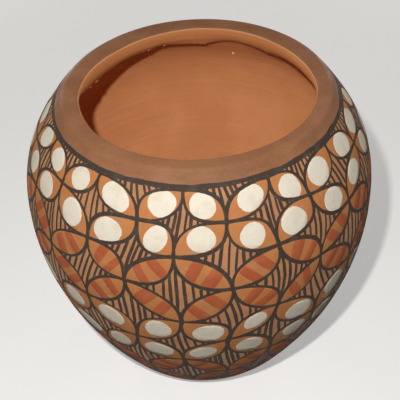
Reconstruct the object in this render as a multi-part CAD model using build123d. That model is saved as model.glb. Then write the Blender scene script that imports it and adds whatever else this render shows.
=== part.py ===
from build123d import *
import os
from math import cos, radians, sin

# Coil-built clay jar. Millimetres, +Z up, origin on the table under the jar's axis.
# Every section is drawn in the XZ plane as (radius, 0, height) and turned about Z.

# Finished outline: radii from the axis, and heights stacked from the table up
foot_radius = 55.0
belly_radius = 91.0
mouth_radius = 57.2
rim_band_width = 12.5
belly_height = 108.4
shoulder_rise = 57.2
mouth_rise = 5.0

# Slopes of the outline, in degrees above the outward horizontal
foot_slope = 57.0
shoulder_slope = 131.0
mouth_slope = 183.0

# How far each curve holds its direction before it bends away
foot_pull = 32.0
belly_pull_down = 41.0
belly_pull_up = 22.0
shoulder_pull = 24.0
crown_pull = 7.2
mouth_pull = 10.0

# Clay and slip
wall_thickness = 6.0
slip_thickness = 0.5
base_thickness = 8.0
floor_flat = 46.0
floor_turn = 18.0
heel_radius = 6.5

# Coils: lengths run along the wall
coil_count = 8
base_rise = 24.0
rim_coil_rise = 20.0
lap_length = 7.0
lap_crown = 0.7

# Inner face of the rim: a rounded lip, rolled back to its foot, and scraped hollow below
lip_height = 9.2
lip_recess = 1.0
lip_slope = -126.0
lip_pull = 3.2
lip_roll_slope = 130.0
lip_roll = 4.3
hollow_slope = 165.0
undercut_length = 19.0

# Points taken from each outline curve to draw a curve parallel to it
stations = 6

OUTWARD = Vector(1, 0, 0)
UP = Vector(0, 0, 1)


def point(radius, height):
    """A place in the section plane."""
    return Vector(radius, 0, height)


def heading(degrees):
    """Unit direction in the section plane, measured from outward towards up."""
    return OUTWARD * cos(radians(degrees)) + UP * sin(radians(degrees))


def below_surface(edge, share, depth):
    """The point a depth under an outline curve, square to it, at a share of its length."""
    along = edge.tangent_at(share)
    outward = Vector(along.Z, 0, -along.X)
    return edge.position_at(share) - outward * depth


def parallel(edges, depth):
    """One smooth curve that runs under a chain of outline curves at a constant depth."""
    places = [below_surface(edges[0], 0, depth)]
    for edge in edges:
        for step in range(1, stations + 1):
            places.append(below_surface(edge, step / stations, depth))
    ends = [edges[0].tangent_at(0), edges[-1].tangent_at(1)]
    return Spline(places, tangents=ends)


def turned(*edges):
    """The solid of revolution of a closed section."""
    return revolve(Face(Wire(edges)), axis=Axis.Z, revolution_arc=360)


# The finished outline: lower wall, shoulder, and the crown of the rim
heel_height = heel_radius * (1 - cos(radians(foot_slope)))
rim_line_height = belly_height + shoulder_rise
foot = point(foot_radius, heel_height)
belly = point(belly_radius, belly_height)
rim_line = point(mouth_radius + rim_band_width, rim_line_height)
mouth = point(mouth_radius, rim_line_height + mouth_rise)

lower_skin = Bezier(
    foot,
    foot + heading(foot_slope) * foot_pull,
    belly - UP * belly_pull_down,
    belly,
)
shoulder_skin = Bezier(
    belly,
    belly + UP * belly_pull_up,
    rim_line - heading(shoulder_slope) * shoulder_pull,
    rim_line,
)
crown_skin = Bezier(
    rim_line,
    rim_line + heading(shoulder_slope) * crown_pull,
    mouth - heading(mouth_slope) * mouth_pull,
    mouth,
)

# Clay surfaces: the outside and crown lie under the slip, and the inside under the wall
outside = parallel([lower_skin, shoulder_skin], slip_thickness)
crown = parallel([crown_skin], slip_thickness)
inside = parallel([lower_skin, shoulder_skin], slip_thickness + wall_thickness)

wall_length = outside.length
coil_rise = (wall_length - base_rise - rim_coil_rise) / coil_count
half_lap = lap_length / 2


def outer_share(coil):
    """Share of the wall's length where a coil begins on the outside, counted from 0."""
    return (base_rise + coil * coil_rise + half_lap) / wall_length


def inner_share(coil):
    """The same on the inside, where each coil laps down over the edge below it."""
    return (base_rise + coil * coil_rise - half_lap) / wall_length


def lap(coil):
    """The pinched joint under a coil: a crowned bevel from the outside down to the inside."""
    start = outside.position_at(outer_share(coil))
    end = inside.position_at(inner_share(coil))
    along = (end - start).normalized()
    upward = Vector(along.Z, 0, -along.X)
    return ThreePointArc(start, (start + end) / 2 + upward * lap_crown, end)


def base():
    """Pressed pancake with a flat underside, a rounded heel and a low upturned wall."""
    wall_start = outside.position_at(0)
    stand = point(wall_start.X - heel_radius * sin(radians(foot_slope)), 0)
    wall_top = inside.position_at(inner_share(0))
    floor = point(0, base_thickness)
    down_wall = inside.tangent_at(inner_share(0)) * -1
    return turned(
        Line(point(0, 0), stand),
        TangentArc(stand, wall_start, tangent=OUTWARD),
        outside.trim(0, outer_share(0)),
        lap(0),
        Bezier(wall_top, wall_top + down_wall * floor_turn, floor + OUTWARD * floor_flat, floor),
        Line(floor, point(0, 0)),
    )


def wall_coil(coil):
    """One rope of clay pinched and scraped into a ring of wall between two laps."""
    return turned(
        lap(coil),
        outside.trim(outer_share(coil), outer_share(coil + 1)),
        lap(coil + 1),
        inside.trim(inner_share(coil), inner_share(coil + 1)),
    )


def rim_coil():
    """Thick last coil: bevelled up to a flat crown, with a rounded lip and a hollow scraped below it."""
    lip_top = crown.position_at(1)
    lip_foot = lip_top + OUTWARD * lip_recess - UP * lip_height
    undercut_share = 1 - undercut_length / wall_length
    undercut = inside.position_at(undercut_share)
    up_wall = inside.tangent_at(undercut_share)
    return turned(
        lap(coil_count),
        outside.trim(outer_share(coil_count), 1),
        crown,
        Bezier(
            lip_top,
            lip_top + heading(lip_slope) * lip_pull,
            lip_foot + heading(lip_roll_slope) * lip_roll,
            lip_foot,
        ),
        Spline([undercut, lip_foot], tangents=[up_wall, heading(hollow_slope)]),
        inside.trim(inner_share(coil_count), undercut_share),
    )


def body_slip():
    """Coat of slip on the outside, from the heel to the line under the rim."""
    return turned(
        lower_skin,
        shoulder_skin,
        Line(rim_line, outside.position_at(1)),
        outside,
        Line(outside.position_at(0), foot),
    )


def rim_slip():
    """Coat of slip over the crown, from the line under the rim to the mouth edge."""
    return turned(
        crown_skin,
        Line(mouth, crown.position_at(1)),
        crown,
        Line(crown.position_at(0), rim_line),
    )


nodes = {"base": base(), "rim_coil": rim_coil(), "body_slip": body_slip(), "rim_slip": rim_slip()}
for coil in range(coil_count):
    nodes[f"wall_coil_{coil + 1}"] = wall_coil(coil)

os.makedirs("parts", exist_ok=True)
for name, shape in nodes.items():
    export_step(shape, f"parts/{name}.step")
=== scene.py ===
from math import cos, pi, radians, sin, sqrt, tau

import bmesh
import bpy
import numpy as np
from mathutils import Matrix, Vector


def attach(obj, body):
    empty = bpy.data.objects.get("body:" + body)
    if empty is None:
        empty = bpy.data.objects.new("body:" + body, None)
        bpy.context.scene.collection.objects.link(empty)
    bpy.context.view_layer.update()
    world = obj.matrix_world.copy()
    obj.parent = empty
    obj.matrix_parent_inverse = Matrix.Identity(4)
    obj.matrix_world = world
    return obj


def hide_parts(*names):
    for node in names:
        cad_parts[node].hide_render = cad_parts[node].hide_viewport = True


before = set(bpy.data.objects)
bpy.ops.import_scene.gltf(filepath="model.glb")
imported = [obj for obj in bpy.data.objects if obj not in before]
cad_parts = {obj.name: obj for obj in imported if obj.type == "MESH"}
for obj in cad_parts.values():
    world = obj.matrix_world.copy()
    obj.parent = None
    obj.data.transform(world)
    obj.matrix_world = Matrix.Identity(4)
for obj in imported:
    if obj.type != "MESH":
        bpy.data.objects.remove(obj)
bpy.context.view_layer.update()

# Hand-painted clay jar. Metres, +Z up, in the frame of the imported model.
# An angle round the jar is counted from the front, which faces -Y, towards +X.
# A run is a distance along the outside, counted down the wall from the line under the rim.

# Finished outline, the same sizes as the solids
foot_radius = 0.0550
belly_radius = 0.0910
mouth_radius = 0.0572
rim_band_width = 0.0125
belly_height = 0.1084
shoulder_rise = 0.0572
mouth_rise = 0.0050
foot_slope = 57.0
shoulder_slope = 131.0
mouth_slope = 183.0
foot_pull = 0.0320
belly_pull_down = 0.0410
belly_pull_up = 0.0220
shoulder_pull = 0.0240
crown_pull = 0.0072
mouth_pull = 0.0100

# Clay wall, base and rounded lip
wall_thickness = 0.0060
slip_thickness = 0.0005
base_thickness = 0.0080
floor_flat = 0.0460
floor_turn = 0.0180
floor_join = 0.0205
heel_radius = 0.0065
lip_height = 0.0092
lip_recess = 0.0010
lip_slope = -126.0
lip_pull = 0.0032
lip_roll_slope = 130.0
lip_roll = 0.0043
hollow_slope = 165.0
hollow_pull = 0.0080
undercut_length = 0.0190

# Skin: the slip lies a hair under the solids' outline, which leaves room for the paint
skin_lift = -0.00020
film_sink = 0.00006
coat_sink = 0.00020
rim_coat_lift = 0.00005
dent_depth = 0.00030
scrape_depth = 0.00008
scrape_start = 0.030
fine_scrape = 0.6
clay_columns = 300
axis_gap = 0.0005
heel_gap = 0.0010

# Edge of the mouth: its rounding, how deep the clay lies under the outline there, and the width of its bare
# band, which carries a painted highlight
mouth_round = 0.0009
edge_sink = 0.00022
edge_step = 0.00020
edge_blend = 0.0030
bare_edge_highlight_width = 0.0005

# How far the mouth leaves a true circle: an even part, then 1, 2, 3 and 4 waves round it
mouth_spread = 0.00029
mouth_cosines = (0.00262, -0.00036, -0.00066, 0.00025)
mouth_sines = (0.00076, -0.00008, 0.00015, -0.00019)

# Lower edge of the lip: how far it leans out and rises, all round, at the front and at the right
lip_lean = -0.0009
lip_lean_front = -0.0020
lip_lean_right = 0.0006
lip_rise = 0.0016
lip_rise_front = 0.0019
lip_rise_right = 0.0009
lip_rise_twice = 0.0006

# Pinch that shortens the lip at both sides: where it is, counted from the front, and how far it reaches
pinch_angle = radians(80.0)
pinch_turn = radians(3.0)
pinch_width = radians(14.0)
pinch_depth = 0.75

# Extra clay left on the wall under the lip, most of it right of the back
extra_clay = 0.0062
extra_angle = radians(165.0)
extra_narrowness = 4

# Crumbs the knife left: a cluster at the lip's left end, some along it, one at the back, some on the wall
cluster_angle = 250
cluster_spread = 4
cluster_count = 6
stray_angles = (100, 260)
stray_count = 8
lone_angle = 176
wall_count = 6
wall_rows = 12
crumb_sizes = (0.00025, 0.00055)
crumb_unevenness = (0.7, 1.3)

# Drop of paint inside: its size, and its place in the grid of points on the wall
speck_size = 0.0008
speck_unevenness = (0.8, 1.2)
speck_row = 1
speck_column = 135

# Flats the knife left along the lip's lower edge: where they meet, in degrees, and their heights there
millimetre = 0.001
knife_stops = (0, 40, 75, 104, 126, 137, 157, 163, 175, 188, 198, 207, 224, 233, 250, 310)
knife_heights = (0.3, -0.2, 0.1, -0.3, 0.1, -0.7, 1.0, 0.6, -1.8, -0.8, 0.5, -0.1, -0.2, -0.9, -1.0, 0.2)

# Hand-built lean: the top of the jar settles towards its front left
settle_start = 0.070
settle_full = 0.170
settle_right = 0.0141
settle_back = 0.0060
settle_drop = 0.0010

# Painted grid: columns round the jar, rows down the wall
columns = 24
rows = 8
first_node = radians(-6.59)
row_lean = radians(-0.13)
row_start = 0.00275
row_pitch = 0.01369
row_growth = 0.00078
dotted_bands = (0, 1, 4, 5)
dotted_fullness = 2.75
barred_fullness = 2.2
barred_bands = (2, 3, 6, 7)
column_drift = 0.12
row_drift = 0.14
least_drift = 0.3

# Edges of the slip coats and the lines that frame the painting
slip_top = 0.0004
slip_hem = 0.0022
slip_wander = 0.0016
rim_hem = 0.0014
rim_raggedness = 0.0005
rim_line_run = 0.0013
foot_line_gap = 0.0006
line_wander = 0.00030
line_swell = 0.30

# Brush: half widths of the lines, which grow a little from row to row
outline_brush = 0.00083
hatch_brush = 0.00078
blot_brush = 0.00140
rim_brush = 0.00120
foot_brush = 0.00110
brush_start = 0.95
brush_growth = 0.045

# Outlines: how far past the nodes they are pressed and run, their weights, and how they swell
outline_press = 0.02
outline_overrun = 0.045
outline_weights = (0.82, 1.15)
outline_swell = 0.20

# Blots where outlines meet: upright strokes and level ones, in grid units, and their weights
blot_reach = (0.12, 0.36)
blot_shift = 0.01
blot_stub = 0.001
blot_weights = (0.6, 1.1)
blot_tip = 0.30
blot_swell = 0.70
level_spread = (0.08, 0.20)
level_tip = 0.22
level_swell = 0.30
rim_level_spread = (0.28, 0.42)
rim_level_swell = 0.50
rim_level_drop = 0.02

# Hatching, in grid units: strokes to each side of the middle, and how they scatter, lean and fan
hatch_spacing = 0.140
hatch_reach = 5
hatch_scatter = 0.014
hatch_lean = 0.09
hatch_waver = 0.025
hatch_fan = 0.10
hatch_weights = (0.76, 1.20)
hatch_taper = 0.22
hatch_top = -0.15
hatch_fits = 6

# Dots: size of the dab in the first row, its growth from row to row, its scatter and its clear edge
dab_size = 0.0062
dab_growth = 0.035
dab_shift = 0.10
dab_lengths = (0.93, 1.10)
dab_widths = (0.90, 1.02)
dab_lumpiness = 0.04
dab_tip = 0.03
dot_margin = 0.0005
dot_least = 0.0001
dot_steepness = 9

# Bars: how far each lies from the petal's middle, its half length, and how full and slanted it is
bar_place = 0.22
bar_shift = 0.02
bar_lengths = (0.120, 0.165)
bar_curve = 0.10
bar_widths = (0.90, 0.98)
bar_slant = 0.12
bar_steepness = 8

# Wash: how much of the petal it fills
wash_fill = 0.98
wash_tip = 0.0005

# Paint: how far each film stands off the slip
wash_film = 0.00004
bar_film = 0.00006
dot_film = 0.00008
hatch_film = 0.00010
outline_film = 0.00012

# Roughness of the grain that all the matte finishes share, and the angle that keeps an edge crisp
matte_grain = 0.25
crisp_angle = radians(35)

# Photograph's view
view_elevation = radians(41.17)
view_roll = radians(2.12)
view_distance = 0.4268
view_aim = Vector((0.00007, 0.0, 0.09384))
view_lens = 69.5
sensor_width = 36.0

# Studio: reach of the floor, and its and the sky's brightness to the lens and to the jar
floor_reach = 40.0
floor_glow = 0.38
sky_glow = 0.40
sky_light = 0.045

UP = np.array([0.0, 1.0])
OUTWARD = np.array([1.0, 0.0])


def heading(degrees):
    """Unit direction in the section plane, measured from outward towards up."""
    return OUTWARD * cos(radians(degrees)) + UP * sin(radians(degrees))


def curve(start, leave, arrive, end, count):
    """Cubic curve: four points weighted by (1-t)^3, 3t(1-t)^2, 3t^2(1-t) and t^3."""
    t = np.linspace(0, 1, count)[:, None]
    first = (1 - t) ** 3 * start + 3 * t * (1 - t) ** 2 * leave
    return first + 3 * t ** 2 * (1 - t) * arrive + t ** 3 * end


def straight(start, end, count):
    """Evenly spaced points from start to end."""
    t = np.linspace(0, 1, count)[:, None]
    return start + (end - start) * t


def run_along(points):
    """Distance travelled from the first point of a section line to each of its points."""
    steps = np.linalg.norm(np.diff(points, axis=0), axis=1)
    return np.concatenate([[0.0], np.cumsum(steps)])


def waves(angle, run, seed, turns, slant):
    """Smooth unevenness from -1 to 1: the mean of sine waves that close up round the jar.

    Each wave is sin(n * angle + k * run + phase), with whole n from turns and k up to slant.
    """
    rng = np.random.default_rng(seed)
    total = 0.0
    for count in turns:
        total = total + np.sin(count * angle + rng.uniform(-slant, slant) * run + rng.uniform(0, tau))
    return total / len(turns)


# Outside section: up the lip, over the crown, down the shoulder and the lower wall
foot_height = heel_radius * (1 - cos(radians(foot_slope)))
foot = np.array([foot_radius, foot_height])
belly = np.array([belly_radius, belly_height])
rim_line = belly + UP * shoulder_rise
rim_line[0] = mouth_radius + rim_band_width
mouth = rim_line - OUTWARD * rim_band_width + UP * mouth_rise
lip_foot_height = mouth[1] - slip_thickness - lip_height

lip_way = heading(lip_slope)
lip_section = straight(mouth + lip_way * lip_pull, mouth + lip_way * mouth_round, count=20)
crown_section = curve(
    mouth,
    mouth - heading(mouth_slope) * mouth_pull,
    rim_line + heading(shoulder_slope) * crown_pull,
    rim_line,
    count=160,
)
crown_section = crown_section[run_along(crown_section) >= mouth_round]
edge_section = curve(
    lip_section[-1],
    (lip_section[-1] + mouth) / 2,
    (crown_section[0] + mouth) / 2,
    crown_section[0],
    count=20,
)
shoulder_section = curve(
    rim_line,
    rim_line - heading(shoulder_slope) * shoulder_pull,
    belly + UP * belly_pull_up,
    belly,
    count=240,
)
lower_section = curve(
    belly,
    belly - UP * belly_pull_down,
    foot + heading(foot_slope) * foot_pull,
    foot,
    count=320,
)
crown_length = run_along(np.vstack([edge_section[:-1], crown_section]))[-1]
section = np.vstack([
    lip_section[:-1],
    edge_section[:-1],
    crown_section[:-1],
    shoulder_section[:-1],
    lower_section,
])
section_run = run_along(section) - run_along(lip_section)[-1] - crown_length
wall_length = section_run[-1]
section_way = np.gradient(section, section_run, axis=0)
section_out = np.stack([-section_way[:, 1], section_way[:, 0]], axis=1)
section_out /= np.linalg.norm(section_out, axis=1, keepdims=True)


def across_section(run, lift):
    """Radius and height of the outside at a run, pushed out by lift square to it."""
    radius = np.interp(run, section_run, section[:, 0])
    height = np.interp(run, section_run, section[:, 1])
    out_radius = np.interp(run, section_run, section_out[:, 0])
    out_height = np.interp(run, section_run, section_out[:, 1])
    return radius + lift * out_radius, height + lift * out_height


def turned(angle, radius, height):
    """Points at an angle round the axis, settled: (radius sin angle, -radius cos angle, height).

    Above the belly each point sinks in step with its height, less towards the right and the back.
    """
    across, deep = radius * np.sin(angle), -radius * np.cos(angle)
    across, deep, height = np.broadcast_arrays(across, deep, height)
    share = np.clip((height - settle_start) / (settle_full - settle_start), 0, 1)
    tilt = settle_right * across + settle_back * deep - settle_drop
    return np.stack([across, deep, height + share * tilt], axis=-1)


def mouth_shape(angle):
    """How far the hand-shaped mouth leaves a true circle: an even part and four low waves."""
    shape = mouth_spread
    for turns, (cosine, sine) in enumerate(zip(mouth_cosines, mouth_sines), start=1):
        shape = shape + cosine * np.cos(turns * angle) + sine * np.sin(turns * angle)
    return shape


def mouth_share(run):
    """How much of the mouth's shape a run takes: none at the rim line, all at the mouth."""
    return np.clip(-run / crown_length, 0, 1) ** 2


def hand_dent(angle, run):
    """Shallow inward dents of the shaping hand, from none to the full dent depth; none at the mouth."""
    fade = np.clip(1 + run / crown_length, 0, 1)
    return dent_depth * fade * 0.5 * (1 + waves(angle, run, seed=11, turns=(2, 3, 5, 8), slant=90))


def on_jar(angle, run, lift):
    """Point of the outside at an angle and a run: outline, mouth shape and dents, plus lift."""
    radius, height = across_section(run, lift - hand_dent(angle, run))
    return turned(angle, radius + mouth_share(run) * mouth_shape(angle), height)


def lip_edge(angle):
    """Radius and height of the lip's lower edge: it leans with low waves and is cut in short flats."""
    lean = lip_lean + lip_lean_front * np.cos(angle) + lip_lean_right * np.sin(angle)
    rise = lip_rise + lip_rise_front * np.cos(angle) + lip_rise_right * np.sin(angle)
    rise = rise + lip_rise_twice * np.sin(2 * angle)
    flats = np.interp(np.degrees(angle), knife_stops, knife_heights, period=360) * millimetre
    return mouth_radius + lip_recess + lean, lip_foot_height + rise + flats


def lip_left(angle):
    """Share of the lip that is left at an angle: 1 less a bell-shaped pinch at each side."""
    from_front = np.abs((angle + pinch_turn + pi) % tau - pi)
    return 1 - pinch_depth * np.exp(-((from_front - pinch_angle) / pinch_width) ** 2)


# Finishes
def tone(red, green, blue):
    """Colour as seen on a screen, 0 to 255, turned into the linear values of a shader."""
    shares = np.array([red, green, blue]) / 255
    linear = np.where(shares <= 0.04045, shares / 12.92, ((shares + 0.055) / 1.055) ** 2.4)
    return (*linear.tolist(), 1.0)


class Finish:
    """A matte finish whose colour, sheen and relief are patterns on Object coordinates."""

    def __init__(self, name):
        self.material = bpy.data.materials.new(name)
        self.material.use_nodes = True
        self.tree = self.material.node_tree
        self.shader = self.tree.nodes["Principled BSDF"]
        self.place = self.node("ShaderNodeTexCoord").outputs["Object"]

    def node(self, kind, **settings):
        """A new node with the given settings."""
        node = self.tree.nodes.new(kind)
        for key, value in settings.items():
            setattr(node, key, value)
        return node

    def feed(self, socket, value):
        """Link a socket or set a plain number or colour."""
        if isinstance(value, bpy.types.NodeSocket):
            self.tree.links.new(value, socket)
        else:
            socket.default_value = value

    def grain(self, size, stretch=(1, 1, 1), detail=3.0, rough=0.55):
        """Cloudy noise with blotches of about the given size, drawn out by stretch."""
        mapping = self.node("ShaderNodeMapping")
        self.feed(mapping.inputs["Vector"], self.place)
        mapping.inputs["Scale"].default_value = tuple(1 / share for share in stretch)
        noise = self.node("ShaderNodeTexNoise")
        self.feed(noise.inputs["Vector"], mapping.outputs["Vector"])
        noise.inputs["Scale"].default_value = 1 / size
        noise.inputs["Detail"].default_value = detail
        noise.inputs["Roughness"].default_value = rough
        return noise.outputs["Fac"]

    def ease(self, value, low, high, out_low=0.0, out_high=1.0):
        """Smooth step of a value between low and high, onto a new range."""
        step = self.node("ShaderNodeMapRange", interpolation_type="SMOOTHSTEP")
        self.feed(step.inputs["Value"], value)
        step.inputs["From Min"].default_value = low
        step.inputs["From Max"].default_value = high
        step.inputs["To Min"].default_value = out_low
        step.inputs["To Max"].default_value = out_high
        return step.outputs["Result"]

    def sum(self, kind, first, second):
        """Arithmetic of two values."""
        maths = self.node("ShaderNodeMath", operation=kind)
        self.feed(maths.inputs[0], first)
        self.feed(maths.inputs[1], second)
        return maths.outputs[0]

    def blend(self, share, first, second):
        """Colour that goes from the first to the second as share goes from 0 to 1."""
        mix = self.node("ShaderNodeMix", data_type="RGBA")
        self.feed(mix.inputs[0], share)
        self.feed(mix.inputs[6], first)
        self.feed(mix.inputs[7], second)
        return mix.outputs[2]

    def height(self):
        """Height above the table."""
        split = self.node("ShaderNodeSeparateXYZ")
        self.feed(split.inputs["Vector"], self.place)
        return split.outputs["Z"]

    def dress(self, colour, roughness, relief, depth, specular):
        """Join the patterns to the shader: colour, roughness and a relief of a given depth."""
        self.feed(self.shader.inputs["Base Color"], colour)
        self.feed(self.shader.inputs["Roughness"], roughness)
        self.shader.inputs["Specular IOR Level"].default_value = specular
        self.shader.inputs["Diffuse Roughness"].default_value = matte_grain
        bump = self.node("ShaderNodeBump")
        bump.inputs["Strength"].default_value = 1.0
        bump.inputs["Distance"].default_value = depth
        self.feed(bump.inputs["Height"], relief)
        self.feed(self.shader.inputs["Normal"], bump.outputs["Normal"])
        return self.material


def scraped_clay():
    """Bare fired clay: faint level scrape marks, soft clouds from the fire, temper grit.

    It carries painted shade: it is browner on the lip itself and on the wall under the lip, where the lip
    shades it.
    It is pale along the mouth edge, a painted highlight, where the load is 1.
    """
    clay = Finish("scraped_clay")
    cloud = clay.ease(clay.grain(0.030), 0.35, 0.68)
    scrape = clay.grain(0.012, stretch=(7, 7, 0.22), detail=4.0)
    grit = clay.grain(0.0011, detail=2.0)
    colour = clay.blend(cloud, tone(222, 150, 96), tone(231, 160, 105))
    # Painted shade: the lip and the wall under it are painted browner, standing in for the lip's shade
    lip = clay.ease(clay.height(), lip_foot_height - 0.0035, lip_foot_height + 0.0035)
    painted_shade_under_lip = clay.ease(clay.height(), lip_foot_height - 0.024, lip_foot_height - 0.003, 0.0, 0.75)
    colour = clay.blend(painted_shade_under_lip, colour, tone(196, 125, 77))
    colour = clay.blend(lip, colour, tone(191, 121, 69))
    colour = clay.blend(clay.ease(scrape, 0.45, 0.72, 0.0, 0.35), colour, tone(233, 165, 112))
    colour = clay.blend(clay.ease(grit, 0.66, 0.74, 0.0, 0.35), colour, tone(230, 178, 136))
    colour = clay.blend(clay.ease(grit, 0.33, 0.27, 0.0, 0.40), colour, tone(140, 80, 48))
    # Painted highlight: paler clay along the mouth edge, where the load is 1
    painted_edge_highlight = clay.node("ShaderNodeAttribute", attribute_name="load").outputs["Fac"]
    colour = clay.blend(painted_edge_highlight, colour, tone(208, 152, 110))
    relief = clay.sum("ADD", scrape, clay.sum("MULTIPLY", grit, 0.5))
    roughness = clay.ease(scrape, 0.3, 0.7, 0.72, 0.62)
    return clay.dress(colour, roughness, relief, depth=0.00020, specular=0.30)


def polished_slip():
    """Orange slip rubbed with a stone: level rubbing marks, mild clouds, a few specks."""
    slip = Finish("polished_orange_slip")
    cloud = slip.ease(slip.grain(0.040), 0.36, 0.66)
    rub = slip.grain(0.010, stretch=(6, 6, 0.25), detail=4.0)
    speck = slip.grain(0.0010, detail=2.0)
    colour = slip.blend(cloud, tone(180, 125, 84), tone(190, 136, 94))
    colour = slip.blend(slip.ease(rub, 0.45, 0.72, 0.0, 0.35), colour, tone(206, 146, 100))
    colour = slip.blend(slip.ease(speck, 0.34, 0.27, 0.0, 0.50), colour, tone(134, 82, 52))
    relief = slip.sum("ADD", rub, slip.sum("MULTIPLY", speck, 0.25))
    roughness = slip.ease(rub, 0.3, 0.7, 0.62, 0.50)
    return slip.dress(colour, roughness, relief, depth=0.00020, specular=0.25)


def brown_rim_slip():
    """Matte brown slip: wiped clouds, pale dust and dark pits."""
    slip = Finish("matte_brown_slip")
    cloud = slip.ease(slip.grain(0.022), 0.34, 0.68)
    wipe = slip.grain(0.006, stretch=(2.5, 2.5, 0.5), detail=4.0)
    dust = slip.grain(0.0009, detail=2.0)
    colour = slip.blend(cloud, tone(142, 95, 64), tone(154, 105, 73))
    colour = slip.blend(slip.ease(wipe, 0.48, 0.74, 0.0, 0.40), colour, tone(166, 117, 86))
    colour = slip.blend(slip.ease(dust, 0.62, 0.72, 0.0, 0.35), colour, tone(186, 142, 114))
    colour = slip.blend(slip.ease(dust, 0.36, 0.28, 0.0, 0.45), colour, tone(98, 64, 47))
    relief = slip.sum("ADD", wipe, slip.sum("MULTIPLY", dust, 0.5))
    roughness = slip.ease(cloud, 0.0, 1.0, 0.66, 0.56)
    return slip.dress(colour, roughness, relief, depth=0.00022, specular=0.20)


def brushed_paint(name, full, thin, under, fleck):
    """Paint laid with a yucca brush: clouds of thick and thin, bristle marks and flecks.

    The load of paint falls from 1 in the middle of a stroke to 0 at its edge, where the clouds
    let the ground show through.
    """
    paint = Finish(name)
    load = paint.node("ShaderNodeAttribute", attribute_name="load").outputs["Fac"]
    cloud = paint.grain(0.0065, detail=4.0)
    bristle = paint.grain(0.0020, stretch=(1, 1, 2.2), detail=3.0)
    speck = paint.grain(0.0007, detail=2.0)
    colour = paint.blend(paint.ease(cloud, 0.44, 0.72, 0.0, 0.75), full, thin)
    colour = paint.blend(paint.ease(bristle, 0.55, 0.75, 0.0, 0.35), colour, thin)
    colour = paint.blend(paint.ease(speck, 0.64, 0.72, 0.0, 0.6), colour, fleck)
    laid = paint.sum("ADD", load, paint.sum("SUBTRACT", bristle, 0.5))
    colour = paint.blend(paint.ease(laid, 0.02, 0.34), under, colour)
    relief = paint.sum("ADD", bristle, paint.sum("MULTIPLY", speck, 0.5))
    roughness = paint.ease(cloud, 0.3, 0.7, 0.70, 0.82)
    return paint.dress(colour, roughness, relief, depth=0.00016, specular=0.16)


# Meshes
def piece(name, points, faces, material, load=None):
    """A named piece of the jar from its points and faces, with its normals turned outwards."""
    mesh = bpy.data.meshes.new(name)
    mesh.from_pydata(points.reshape(-1, 3).tolist(), [], faces)
    shell = bmesh.new()
    shell.from_mesh(mesh)
    bmesh.ops.recalc_face_normals(shell, faces=shell.faces)
    shell.to_mesh(mesh)
    shell.free()
    mesh.shade_smooth()
    mesh.set_sharp_from_angle(angle=crisp_angle)
    if load is not None:
        spread = np.broadcast_to(load, points.shape[:-1]).ravel()
        mesh.attributes.new("load", "FLOAT", "POINT").data.foreach_set("value", spread)
    mesh.materials.append(material)
    shape = bpy.data.objects.new(name, mesh)
    bpy.context.scene.collection.objects.link(shape)
    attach(shape, "root")
    return shape


def grid_faces(index, wrap_down):
    """Four-sided faces of an index grid that closes up along its last axis, and down it too if asked."""
    after = np.roll(index, -1, axis=-1)
    if wrap_down:
        below, below_after = np.roll(index, -1, axis=-2), np.roll(after, -1, axis=-2)
    else:
        below, below_after = index[..., 1:, :], after[..., 1:, :]
        index, after = index[..., :-1, :], after[..., :-1, :]
    return np.stack([index, after, below_after, below], axis=-1).reshape(-1, 4).tolist()


def films(name, points, material, load=None):
    """Closed shapes in numbers: each a stack of rings of points, with a cap on each end."""
    index = np.arange(points[..., 0].size).reshape(points.shape[:3])
    faces = grid_faces(index, False) + index[:, 0].tolist() + index[:, -1].tolist()
    return piece(name, points, faces, material, load)


def hoop(name, points, material, load=None):
    """Closed coat that goes right round the jar: a ring section (across) carried round (along)."""
    index = np.arange(points[..., 0].size).reshape(points.shape[:2])
    return piece(name, points, grid_faces(index, True), material, load)


def pot(name, points, material, load):
    """Closed pot: rows of points round the axis, and one point at each pole, where the load is 0."""
    index = np.arange(points[..., 0].size).reshape(points.shape[:2])
    poles = points[[0, -1]].mean(axis=1)
    faces = grid_faces(index, False)
    for pole, ring in ((index.size, index[0]), (index.size + 1, index[-1])):
        fan = np.stack([ring, np.roll(ring, -1), np.full(ring.size, pole)], axis=1)
        faces = faces + fan.tolist()
    load = np.concatenate([np.broadcast_to(load, points.shape[:2]).ravel(), [0, 0]])
    return piece(name, np.vstack([points.reshape(-1, 3), poles]), faces, material, load)


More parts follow.
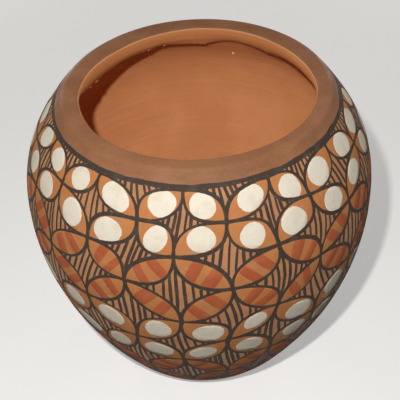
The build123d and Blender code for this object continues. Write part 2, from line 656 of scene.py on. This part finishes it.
# Clay
def clay_section():
    """Section of the fired clay as named stretches, and the runs of the outside's points.

    Underside, heel arc, outside under the slip, lip, hollow under the lip, inside, and the floor.
    """
    near_axis = OUTWARD * axis_gap
    stand = OUTWARD * (foot_radius - slip_thickness - heel_radius * sin(radians(foot_slope)))
    turn = np.linspace(0, radians(foot_slope), 9)[1:, None]
    wall_run = np.linspace(wall_length - heel_gap, 0.0, 90)
    out_run = np.concatenate([wall_run[:-1], np.linspace(0.0, -crown_length, 30)])
    in_run = np.linspace(undercut_length, wall_length - floor_join, 80)
    inside = np.stack(across_section(in_run, -slip_thickness - wall_thickness), axis=1)
    up_wall = (inside[0] - inside[1]) / np.linalg.norm(inside[0] - inside[1])
    down_wall = (inside[-1] - inside[-2]) / np.linalg.norm(inside[-1] - inside[-2])
    out_lift = np.interp(out_run, [-crown_length, edge_blend - crown_length], [-edge_sink, -slip_thickness])
    lip_top = np.array(across_section(-crown_length, -edge_sink)) + lip_way * edge_step
    lip_foot = np.array([mouth_radius + lip_recess, lip_foot_height])
    roll_start = lip_foot + heading(lip_roll_slope) * lip_roll
    floor = UP * base_thickness
    return {
        "under": straight(near_axis, stand, count=10),
        "heel": stand + heel_radius * np.hstack([np.sin(turn), 1 - np.cos(turn)]),
        "outside": np.stack(across_section(out_run, out_lift), axis=1),
        "lip": curve(lip_top, lip_top + lip_way * lip_pull, roll_start, lip_foot, count=18),
        "hollow": curve(
            lip_foot,
            lip_foot - heading(hollow_slope) * hollow_pull,
            inside[0] + up_wall * hollow_pull,
            inside[0],
            count=24,
        )[1:-1],
        "inside": inside,
        "floor": curve(
            inside[-1],
            inside[-1] + down_wall * floor_turn,
            floor + OUTWARD * floor_flat,
            floor + near_axis,
            count=40,
        )[1:],
    }, out_run


def clay_body(material):
    """Base, wall coils and rim coil as fired: one closed skin, its section turned round the axis.

    The outside is dented with the slip, the crown and lip take the mouth's shape, and the lip's lower
    edge is cut in short flats between the knife's stops and drawn up towards the top at the pinches.
    The wall under it is thicker towards the back, by ((1 + cos(angle - middle)) / 2)^4, and the inside
    carries level scrape waves. The load, a painted highlight, falls from 1 on the mouth's edge to 0 a bare
    edge's width away.
    It gives back the points of the lip's foot and of the inside wall.
    """
    stretches, out_run = clay_section()
    angle = np.linspace(0, tau, clay_columns, endpoint=False)
    line = np.vstack(list(stretches.values()))
    label = np.repeat(list(stretches), [len(stretch) for stretch in stretches.values()])
    level = line[:, 1]
    outside = label == "outside"
    lip, hollow = label == "lip", label == "hollow"
    within = np.isin(label, ("hollow", "inside", "floor"))

    run = np.full(len(line), wall_length)
    run[outside] = out_run
    dented = np.isin(label, ("heel", "outside"))[:, None] * hand_dent(angle, run[:, None])

    fade = np.clip((level - belly_height) / (lip_foot_height - belly_height), 0, 1) ** 2
    share = np.where(outside, mouth_share(run), np.where(lip | within, fade, 0))

    edge_radius, edge_height = lip_edge(angle)
    cut = np.zeros(len(line))
    cut[lip] = np.linspace(0, 1, lip.sum()) ** 2
    cut[hollow] = np.linspace(1, 0, hollow.sum()) ** 2
    lean = cut[:, None] * (edge_radius - line[lip][-1, 0])
    flats = cut[:, None] * (edge_height - line[lip][-1, 1])

    from_top = line - line[lip][0]
    from_top[hollow] = from_top[lip][-1] * cut[hollow][:, None]
    pinch = (lip | hollow)[:, None] * (1 - lip_left(angle))
    lean = lean - pinch * (from_top[:, :1] + lean)
    flats = flats - pinch * (from_top[:, 1:] + flats)

    about_back = ((1 + np.cos(angle - extra_angle)) / 2) ** extra_narrowness
    thick = extra_clay * (within * fade * (1 - cut))[:, None] * about_back

    broad = waves(angle, level[:, None], seed=23, turns=(1, 2, 3, 5, 7), slant=900)
    fine = waves(angle, level[:, None], seed=29, turns=(2, 4, 9), slant=1700)
    scraped = within * np.clip(line[:, 0] / scrape_start, 0, 1)
    scrape = scrape_depth * scraped[:, None] * (broad + fine_scrape * fine)

    radius = line[:, :1] - dented + share[:, None] * mouth_shape(angle) + lean + scrape - thick
    height = level[:, None] + flats
    edge_way = np.full(len(line), wall_length)
    edge_way[outside] = run[outside] + crown_length
    edge_way[lip] = run_along(line[lip])
    # Load of the painted highlight: 1 on the mouth's edge, 0 a bare edge's width away
    painted_edge_highlight = np.clip(1 - edge_way / bare_edge_highlight_width, 0, 1)[:, None]
    points = turned(angle, radius, height)
    body = pot("clay_body", points, material, painted_edge_highlight)
    coils = [f"wall_coil_{number}" for number in range(1, 9)]
    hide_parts("base", "rim_coil", *coils)
    return points[lip][-1], points[label == "inside"]


lump_rise = np.radians([-80, -40, 0, 40, 80])[:, None]
lump_turn = np.linspace(0, tau, 7, endpoint=False)
lump_shape = (lump_rise.size, lump_turn.size, 1)


def lumps(name, centres, size, material, load=None):
    """Lumpy little balls: latitude rings of points about each centre, at the given sizes."""
    across, deep = np.cos(lump_rise) * np.cos(lump_turn), np.cos(lump_rise) * np.sin(lump_turn)
    ball = np.stack([across, deep, np.sin(lump_rise) + 0 * lump_turn], axis=-1)
    films(name, centres[:, None, None] + size * ball, material, load)


def clay_crumbs(lip_foot, wall, material):
    """Crumbs the knife left along the lip's edge, most of them at its left end, and some on the wall."""
    rng = np.random.default_rng(61)
    cluster = rng.normal(cluster_angle, cluster_spread, cluster_count)
    strays = rng.uniform(*stray_angles, stray_count)
    along = np.concatenate([cluster, strays, [lone_angle]])
    round_lip = np.round(along / 360 * len(lip_foot)).astype(int)
    round_wall = rng.integers(0, wall.shape[1], wall_count)
    down_wall = rng.integers(0, wall_rows, wall_count)
    centres = np.concatenate([lip_foot[round_lip], wall[down_wall, round_wall]])
    count = len(centres)
    size = rng.uniform(*crumb_sizes, (count, 1, 1, 1))
    size = size * rng.uniform(*crumb_unevenness, (count, *lump_shape))
    lumps("clay_crumbs", centres, size, material)


def paint_speck(wall, material):
    """One drop of white paint that fell on the inside, near the top of the wall at the back."""
    rng = np.random.default_rng(67)
    centre = wall[None, speck_row, speck_column]
    size = speck_size * rng.uniform(*speck_unevenness, (1, *lump_shape))
    lumps("paint_speck", centre, size, material, load=1.0)


# Slip coats
def coat(name, angle, top, bottom, lift, count, material):
    """Thin coat between two wandering edges: outer skin at lift, edges and back sunk in the clay."""
    share = np.linspace(0, 1, count)
    run = top[:, None] + (bottom - top)[:, None] * share
    skin = on_jar(angle[:, None], run, lift)
    back_share = np.linspace(1, 0, 24)
    back_run = top[:, None] + (bottom - top)[:, None] * back_share
    back = on_jar(angle[:, None], back_run, -slip_thickness - coat_sink)
    return hoop(name, np.concatenate([skin, back], axis=1), material)


def body_slip_coat(material):
    """Orange slip from under the rim line down to a wiped, wandering edge at the heel."""
    angle = np.linspace(0, tau, 360, endpoint=False)
    top = np.full(angle.size, slip_top)
    wander = slip_wander * waves(angle, 0.0, seed=41, turns=(3, 5, 8, 13, 21), slant=0)
    bottom = wall_length - slip_hem + wander
    shape = coat("body_slip_coat", angle, top, bottom, skin_lift, 130, material)
    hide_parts("body_slip")


def rim_slip_coat(material):
    """Brown slip over the crown, from the rim line to a ragged edge on the rounding of the mouth."""
    angle = np.linspace(0, tau, 420, endpoint=False)
    ragged = 0.5 * (1 + waves(angle, 0.0, seed=43, turns=(4, 7, 11, 19), slant=0))
    top = -crown_length + bare_edge_highlight_width - rim_raggedness * ragged
    bottom = np.full(angle.size, rim_hem)
    lift = skin_lift + rim_coat_lift
    shape = coat("rim_slip_coat", angle, top, bottom, lift, 60, material)
    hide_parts("rim_slip")


# Painted grid
def row_run(row):
    """Run of a row of the grid: start + pitch * row + growth * row^2, so the rows grow down the wall."""
    return row_start + row_pitch * row + row_growth * row ** 2


def place(column, row):
    """Angle and run of a grid point, drawn by eye: it drifts a little from the even grid."""
    turn = column * tau / columns
    drifted = column + column_drift * waves(turn, row, seed=1300, turns=(3, 5, 8, 11), slant=2.2)
    sway = waves(turn, row, seed=1323, turns=(2, 5, 8, 11), slant=1.6)
    row = row + row_drift * np.clip(row, least_drift, 1) * sway
    angle = first_node + drifted * tau / columns + row_lean * row
    return angle, row_run(row)


def ring_centres():
    """Centres of the overlapping rings, at every other grid point, with their rows from 0 to 8."""
    column, row = np.meshgrid(np.arange(columns), np.arange(rows + 1), indexing="ij")
    odd = (column + row) % 2 == 1
    return column[odd].astype(float), row[odd].astype(float)


def fullness(band):
    """Power p of the arcs in a band of petals: petals that hold a dot are drawn fuller."""
    return np.where(np.isin(band, dotted_bands), dotted_fullness, barred_fullness)


def gap_depth(offset, band):
    """Half height of the gap inside a ring: 1 - (1 - (1 - |offset|)^p)^(1/p)."""
    power = fullness(band)
    within = np.clip(1 - np.abs(offset), 0, 1)
    return 1 - (1 - within ** power) ** (1 / power)


line_across = np.array([1.0, 0.84, 0.0, -0.84, -1.0])
line_load = np.array([0.0, 0.30, 1.0, 0.30, 0.0])


def brush_lines(column, row, half_width, height):
    """Closed brush lines along grid paths: five points across, with sunk edges and sunk ends."""
    angle, run = place(column, row)
    path = on_jar(angle, run, skin_lift)
    out = on_jar(angle, run, skin_lift + 1) - path
    way = np.gradient(path, axis=1)
    way /= np.linalg.norm(way, axis=-1, keepdims=True)
    side = np.cross(out, way) * (half_width * (brush_start + brush_growth * row))[..., None]
    lift = np.full((path.shape[1], line_across.size), height)
    lift[[0, -1], :] = -film_sink
    lift[:, [0, -1]] = -film_sink
    return path[:, :, None] + side[:, :, None] * line_across[:, None] + out[:, :, None] * lift[..., None]


def ring_outlines(material):
    """Black arcs: quarter rings |x|^p + |y|^p = 1 between grid nodes, run a little past both nodes."""
    centre_column, centre_row = ring_centres()
    pressed = np.linspace(-outline_press, 1 + outline_press, 11)
    t = np.concatenate([[-outline_overrun], pressed, [1 + outline_overrun]]) * pi / 2
    rng = np.random.default_rng(17)
    paths = []
    for side, fall in ((1, 1), (1, -1), (-1, 1), (-1, -1)):
        keep = (centre_row + fall >= 0) & (centre_row + fall <= rows)
        column, row = centre_column[keep][:, None], centre_row[keep][:, None]
        power = 2 / fullness(row + min(fall, 0))
        across = np.sign(np.cos(t)) * np.abs(np.cos(t)) ** power
        down = np.sign(np.sin(t)) * np.abs(np.sin(t)) ** power
        paths.append(np.stack([column + side * across, row + fall * down]))
    column, row = np.concatenate(paths, axis=1)
    count = len(column)
    weight = rng.uniform(*outline_weights, (count, 1))
    weight = weight + outline_swell * np.sin(2 * t + rng.uniform(0, tau, (count, 1)))
    points = brush_lines(column, row, outline_brush * weight, outline_film)
    films("ring_outlines", points, material, load=line_load)


def node_blots(material):
    """Black blots where the arcs meet: short upright and level strokes, thickest at each grid node."""
    column, row = np.meshgrid(np.arange(columns), np.arange(rows + 1), indexing="ij")
    node = (column + row) % 2 == 0
    column, row = column[node].astype(float)[:, None], row[node].astype(float)[:, None]
    rng = np.random.default_rng(47)
    t = np.array([-1.0, -0.9, -0.5, 0.0, 0.5, 0.9, 1.0])
    swell = 1 - np.abs(t)
    reach_up = rng.uniform(*blot_reach, column.shape)
    reach_down = rng.uniform(*blot_reach, column.shape)
    upright_row = np.clip(row + np.where(t < 0, reach_up, reach_down) * t, 0, rows) + blot_stub * t
    upright_column = column + rng.normal(0, blot_shift, column.shape) + 0 * t
    upright_weight = blot_tip + blot_swell * swell * rng.uniform(*blot_weights, column.shape)
    at_rim = row == 0
    rim_spread = rng.uniform(*rim_level_spread, column.shape)
    spread = np.where(at_rim, rim_spread, rng.uniform(*level_spread, column.shape))
    level_row = row + np.where(at_rim, rim_level_drop, 0.0) + 0 * t
    level_weight = level_tip + np.where(at_rim, rim_level_swell, level_swell) * swell
    points = brush_lines(
        np.concatenate([upright_column, column + spread * t]),
        np.concatenate([upright_row, level_row]),
        blot_brush * np.concatenate([upright_weight, level_weight]),
        outline_film,
    )
    films("node_blots", points, material, load=line_load)


def gap_hatching(material):
    """Black fine lines: strokes up and down each gap, leaning the gap's own way, ending on its arcs.

    The ends are found by stepping half way to the arc under the leaning stroke, a few times over.
    """
    column, row = (value[:, None] for value in ring_centres())
    rng = np.random.default_rng(19)
    step = np.arange(-hatch_reach, hatch_reach + 1) * hatch_spacing
    offset = step + rng.normal(0, hatch_scatter, (column.size, step.size))
    slant = rng.normal(0, hatch_lean, column.shape) + rng.normal(0, hatch_waver, offset.shape)
    slant = slant + hatch_fan * step
    low, high = -gap_depth(offset, row - 1), gap_depth(offset, row)
    for _ in range(hatch_fits):
        low = (low - gap_depth(offset + slant * low, row - 1)) / 2
        high = (high + gap_depth(offset + slant * high, row)) / 2
    low = np.where(row > 0, low, hatch_top)
    high = np.where(row < rows, high, 0.0)
    t = np.array([0.0, 0.04, 0.28, 0.52, 0.76, 0.96, 1.0])
    fall = low[..., None] + (high - low)[..., None] * t
    path_row = row[..., None] + fall
    path_column = (column + offset)[..., None] + slant[..., None] * fall
    weight = rng.uniform(*hatch_weights, offset.shape)[..., None] * (1 - hatch_taper * (2 * t - 1) ** 2)
    shape = (-1, t.size)
    points = brush_lines(
        path_column.reshape(shape),
        path_row.reshape(shape),
        hatch_brush * weight.reshape(shape),
        hatch_film,
    )
    films("gap_hatching", points, material, load=line_load)


def framing_line(name, run, half_width, seed, material):
    """Black line right round the jar: its middle wanders, and its weight changes as the brush dries."""
    angle = np.linspace(0, tau, 480, endpoint=False)[:, None]
    middle = run + line_wander * waves(angle, 0.0, seed, turns=(3, 6, 11, 17), slant=0)
    swell = line_swell * waves(angle, 0.0, seed + 1, turns=(5, 12, 19, 31, 43), slant=0)
    width = half_width * (1 + swell)
    lift = np.full(line_across.size, outline_film)
    lift[[0, -1]] = -film_sink
    points = on_jar(angle, middle + width * line_across, skin_lift + rim_coat_lift + lift)
    hoop(name, points, material, load=line_load)


# Petals
def petal_centres(bands):
    """Middle of each petal in the given bands, and which way it leans."""
    column, row = np.meshgrid(np.arange(columns), bands, indexing="ij")
    lean = np.where((column + row) % 2 == 0, 1.0, -1.0)
    return np.stack([column.ravel() + 0.5, row.ravel() + 0.5, lean.ravel()])


def petal_sizes(petals):
    """Size on the wall of one column and one row at each petal, and the petal's half length."""
    row = petals[1]
    radius = across_section(row_run(row), 0.0)[0]
    wide, tall = radius * tau / columns, row_pitch + 2 * row_growth * row
    return wide, tall, np.hypot(wide, tall) / 2


def petal_half_width(along, band):
    """Half width of a petal at a place along it: the lens where two rings overlap, in grid units."""
    turn = np.linspace(0, pi / 2, 200)
    widths = []
    for power in (2 / dotted_fullness, 2 / barred_fullness):
        near, far = 1 - np.cos(turn) ** power, np.sin(turn) ** power
        widths.append(np.interp(along, (near + far - 1) / sqrt(2), (far - near) / sqrt(2)))
    return np.where(np.isin(band, dotted_bands), widths[0], widths[1])


def petal_films(name, petals, column, row, height, load, material):
    """Closed films laid in petals, from grids of column and row offsets; edges and ends sunk."""
    angle, run = place(petals[0][:, None, None] + column, petals[1][:, None, None] + row)
    lift = np.full(column.shape[1:], height)
    lift[[0, -1], :] = -film_sink
    lift[:, [0, -1]] = -film_sink
    films(name, on_jar(angle, run, skin_lift + lift), material, load=load)


def laid_in_petals(petals, along, across):
    """Column and row offsets of lengths measured on the wall along a petal and square to it."""
    lean = petals[2][:, None, None]
    wide, tall, half = (value[:, None, None] for value in petal_sizes(petals))
    cosine, sine = wide / (2 * half), lean * tall / (2 * half)
    return (along * cosine - across * sine) / wide, (along * sine + across * cosine) / tall


edge_steps = np.array([-1.0, -0.94, -0.5, 0.0, 0.5, 0.94, 1.0])


def dab_load(steps, steepness):
    """Load of paint across a dab, whose edges are at -1 and 1: full, but for a fall to 0 at them."""
    return np.minimum(1, steepness * (1 - np.abs(steps)))


def petal_wash(material):
    """Thin warm wash that fills every petal to its outline."""
    petals = petal_centres(np.arange(rows))
    band, lean = (petals[1] - 0.5)[:, None, None], petals[2][:, None, None]
    along = np.array([-0.70, -0.67, -0.45, -0.22, 0.0, 0.22, 0.45, 0.67, 0.70])[:, None]
    across = petal_half_width(along + 0 * band, band) * wash_fill * edge_steps + wash_tip * edge_steps
    column = (along - lean * across) / sqrt(2)
    row = (lean * along + across) / sqrt(2)
    petal_films("petal_wash", petals, column, row, wash_film, 1.0, material)


def white_dots(material):
    """White dots: a round dab as wide as its petal in every dotted band, a little off centre."""
    petals = petal_centres(np.array(dotted_bands))
    shape = (petals.shape[1], 1, 1)
    rng = np.random.default_rng(31)
    turn = np.array([-1.0, -0.97, -0.88, -0.74, -0.54, -0.28, 0.0, 0.28, 0.54, 0.74, 0.88, 0.97, 1.0])
    turn = turn[:, None] * pi / 2
    steps = np.array([-1.0, -0.95, -0.62, -0.22, 0.22, 0.62, 0.95, 1.0])
    wide, tall, half = (value[:, None, None] for value in petal_sizes(petals))
    dab = dab_size * (1 + dab_growth * (petals[1] - 0.5))[:, None, None]
    shift = half * rng.normal(0, dab_shift, shape)
    along = shift + dab * rng.uniform(*dab_lengths, shape) * np.sin(turn)
    lump = rng.uniform(-dab_lumpiness, dab_lumpiness, shape)
    lump = 1 + lump * np.sin(3 * turn + rng.uniform(0, tau, shape))
    round_width = dab * rng.uniform(*dab_widths, shape) * (dab_tip + (1 - dab_tip) * np.cos(turn)) * lump
    lens = petal_half_width(along / (sqrt(2) * half), dotted_bands[0])
    petal_width = lens * wide * tall / (sqrt(2) * half)
    width = np.clip(petal_width - dot_margin, dot_least, round_width)
    column, row = laid_in_petals(petals, along + 0 * steps, width * steps)
    load = dab_load(steps, dot_steepness) * dab_load(np.sin(turn), dot_steepness)
    petal_films("white_dots", petals, column, row, dot_film, load, material)


def red_bars(material):
    """Red bars: two broad dabs square across each petal of the barred bands."""
    middle = petal_centres(np.array(barred_bands))
    petals = np.concatenate([middle, middle], axis=1)
    side = np.repeat([-1.0, 1.0], middle.shape[1])[:, None, None]
    rng = np.random.default_rng(37)
    wide, tall, half = (value[:, None, None] for value in petal_sizes(petals))
    steps = np.array([-1.0, -0.88, 0.0, 0.88, 1.0])[:, None]
    centre = side * bar_place + rng.normal(0, bar_shift, side.shape)
    broad = rng.uniform(*bar_lengths, side.shape)
    along = centre + broad * steps * (1 - bar_curve * edge_steps ** 2)
    width = petal_half_width(along, barred_bands[0]) * wide * tall / (sqrt(2) * half)
    across = width * rng.uniform(*bar_widths, side.shape) * edge_steps
    along = along * sqrt(2) * half + rng.normal(0, bar_slant, side.shape) * across
    column, row = laid_in_petals(petals, along, across)
    load = dab_load(steps, bar_steepness) * dab_load(edge_steps, bar_steepness)
    petal_films("red_bars", petals, column, row, bar_film, load, material)


# Studio
def shown_rays(tree):
    """1 where the lens, gloss or glass sees the studio, and 0 for light that falls on the jar."""
    rays = tree.nodes.new("ShaderNodeLightPath").outputs
    shown = rays["Is Camera Ray"]
    for kind in ("Is Glossy Ray", "Is Transmission Ray"):
        larger = tree.nodes.new("ShaderNodeMath")
        larger.operation = "MAXIMUM"
        tree.links.new(shown, larger.inputs[0])
        tree.links.new(rays[kind], larger.inputs[1])
        shown = larger.outputs[0]
    return shown


def studio():
    """Pale floor and sky that throw little light, a key lamp high in front, two soft low lamps behind."""
    mesh = bpy.data.meshes.new("floor")
    corners = floor_reach * np.array([[-1, -1, 0], [1, -1, 0], [1, 1, 0], [-1, 1, 0]])
    mesh.from_pydata(corners.tolist(), [], [(0, 1, 2, 3)])
    ground = Finish("pale_floor")
    cloud = ground.ease(ground.grain(0.5), 0.3, 0.7)
    seen = ground.blend(cloud, tone(222, 220, 216), tone(228, 226, 223))
    shown = shown_rays(ground.tree)
    colour = ground.blend(shown, tone(62, 61, 60), seen)
    ground.shader.inputs["Emission Color"].default_value = (1.0, 0.99, 0.97, 1.0)
    ground.feed(ground.shader.inputs["Emission Strength"], ground.sum("MULTIPLY", shown, floor_glow))
    finished = ground.dress(colour, 0.9, ground.grain(0.002), depth=0.00002, specular=0.2)
    mesh.materials.append(finished)
    floor = bpy.data.objects.new("floor", mesh)
    bpy.context.scene.collection.objects.link(floor)

    world = bpy.data.worlds.new("studio")
    world.use_nodes = True
    sky = world.node_tree.nodes["Background"]
    sky.inputs["Color"].default_value = (1.0, 0.98, 0.95, 1.0)
    level = world.node_tree.nodes.new("ShaderNodeMapRange")
    level.inputs["To Min"].default_value = sky_light
    level.inputs["To Max"].default_value = sky_glow
    world.node_tree.links.new(shown_rays(world.node_tree), level.inputs["Value"])
    world.node_tree.links.new(level.outputs["Result"], sky.inputs["Strength"])
    bpy.context.scene.world = world

    lamp("key", azimuth=-7.0, elevation=48.0, distance=0.45, size=0.012, power=1.51)
    lamp("left_fill", azimuth=-150.0, elevation=6.0, distance=0.90, size=0.25, power=1.4)
    lamp("right_fill", azimuth=150.0, elevation=6.0, distance=0.90, size=0.25, power=1.4)


def lamp(name, azimuth, elevation, distance, size, power):
    """Square soft lamp, so many degrees round the jar and above it, turned towards its middle."""
    round_jar, above = radians(azimuth), radians(elevation)
    level = distance * cos(above)
    spot = view_aim + Vector((level * sin(round_jar), -level * cos(round_jar), distance * sin(above)))
    light = bpy.data.lights.new(name, "AREA")
    light.size = size
    light.energy = power
    fitting = bpy.data.objects.new(name, light)
    fitting.visible_camera = False
    fitting.location = spot
    fitting.rotation_euler = (view_aim - spot).to_track_quat("-Z", "Y").to_euler()
    bpy.context.scene.collection.objects.link(fitting)


def camera():
    """Camera of the photograph: its height angle, roll, distance and lens."""
    back = Vector((0.0, -cos(view_elevation), sin(view_elevation)))
    right = Vector((1.0, 0.0, 0.0))
    up = back.cross(right)
    rolled_right = right * cos(view_roll) - up * sin(view_roll)
    rolled_up = right * sin(view_roll) + up * cos(view_roll)
    spot = view_aim + back * view_distance
    lens = bpy.data.cameras.new("photograph_view")
    lens.sensor_width = sensor_width
    lens.sensor_fit = "HORIZONTAL"
    lens.lens = view_lens
    lens.clip_start = 0.01
    body = bpy.data.objects.new("photograph_view", lens)
    body.matrix_world = Matrix((
        (*[axis.x for axis in (rolled_right, rolled_up, back)], spot.x),
        (*[axis.y for axis in (rolled_right, rolled_up, back)], spot.y),
        (*[axis.z for axis in (rolled_right, rolled_up, back)], spot.z),
        (0, 0, 0, 1),
    ))
    bpy.context.scene.collection.objects.link(body)
    bpy.context.scene.camera = body


black = brushed_paint(
    "black_paint",
    full=tone(66, 57, 50),
    thin=tone(91, 76, 64),
    under=tone(150, 104, 70),
    fleck=tone(124, 101, 82),
)
white = brushed_paint(
    "white_paint",
    full=tone(231, 221, 202),
    thin=tone(221, 208, 185),
    under=tone(206, 170, 130),
    fleck=tone(186, 174, 156),
)
red = brushed_paint(
    "red_paint",
    full=tone(176, 92, 57),
    thin=tone(189, 110, 70),
    under=tone(196, 127, 75),
    fleck=tone(154, 80, 52),
)
wash = brushed_paint(
    "orange_wash",
    full=tone(191, 124, 73),
    thin=tone(198, 136, 86),
    under=tone(191, 124, 73),
    fleck=tone(165, 101, 61),
)
clay = scraped_clay()

lip_foot, wall = clay_body(clay)
clay_crumbs(lip_foot, wall, clay)
paint_speck(wall, white)
body_slip_coat(polished_slip())
rim_slip_coat(brown_rim_slip())
petal_wash(wash)
red_bars(red)
white_dots(white)
gap_hatching(black)
ring_outlines(black)
node_blots(black)
framing_line("rim_line", rim_line_run, rim_brush, 51, black)
framing_line("foot_line", row_run(rows) + foot_line_gap, foot_brush, 53, black)
studio()
camera()
bpy.context.scene.view_settings.view_transform = "Standard"
